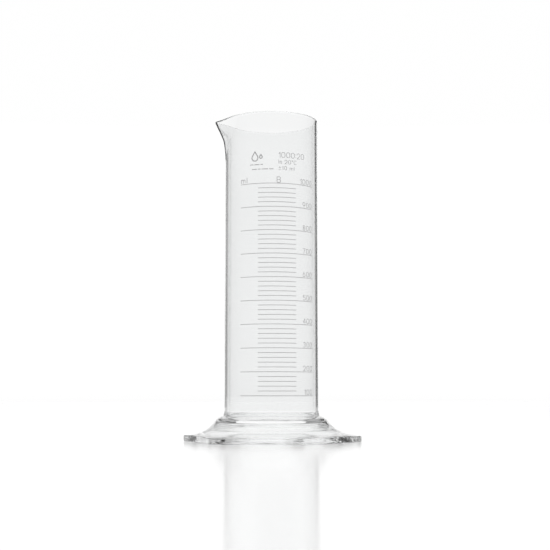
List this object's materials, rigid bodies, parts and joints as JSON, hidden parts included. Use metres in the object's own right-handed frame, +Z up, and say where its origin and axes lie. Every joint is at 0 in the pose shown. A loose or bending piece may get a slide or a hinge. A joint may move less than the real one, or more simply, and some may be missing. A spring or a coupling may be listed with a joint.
{
  "type": "graduated cylinder",
  "caption": "Low-form laboratory measuring cylinder: clear glass tube with a pouring lip, printed volume scale and a wide hexagonal foot hollow underneath.",
  "frame": {"origin": "on the tube's axis, at the plane the foot stands on", "axes": "+Z up along the tube's axis; the scale faces -Y; the pouring lip points along -X"},
  "size_m": [0.151, 0.157, 0.288],
  "materials": {
    "borosilicate_glass": "clear, fire polished",
    "fired_enamel": "satin fired print"
  },
  "bodies": {
    "root": {"measuring_tube": "borosilicate_glass", "bottom_cup": "borosilicate_glass", "fused_seam": "borosilicate_glass", "hexagonal_foot": "borosilicate_glass", "long_scale_lines": "fired_enamel", "short_scale_lines": "fired_enamel", "numeral_100": "fired_enamel", "numeral_200": "fired_enamel", "numeral_300": "fired_enamel", "numeral_400": "fired_enamel", "numeral_500": "fired_enamel", "numeral_600": "fired_enamel", "numeral_700": "fired_enamel", "numeral_800": "fired_enamel", "numeral_900": "fired_enamel", "numeral_1000": "fired_enamel", "unit_mark": "fired_enamel", "class_mark": "fired_enamel", "capacity_mark": "fired_enamel", "temperature_mark": "fired_enamel", "tolerance_mark": "fired_enamel", "drop_emblem": "fired_enamel", "plain_dash_rows": "fired_enamel"}
  },
  "joints": []
}
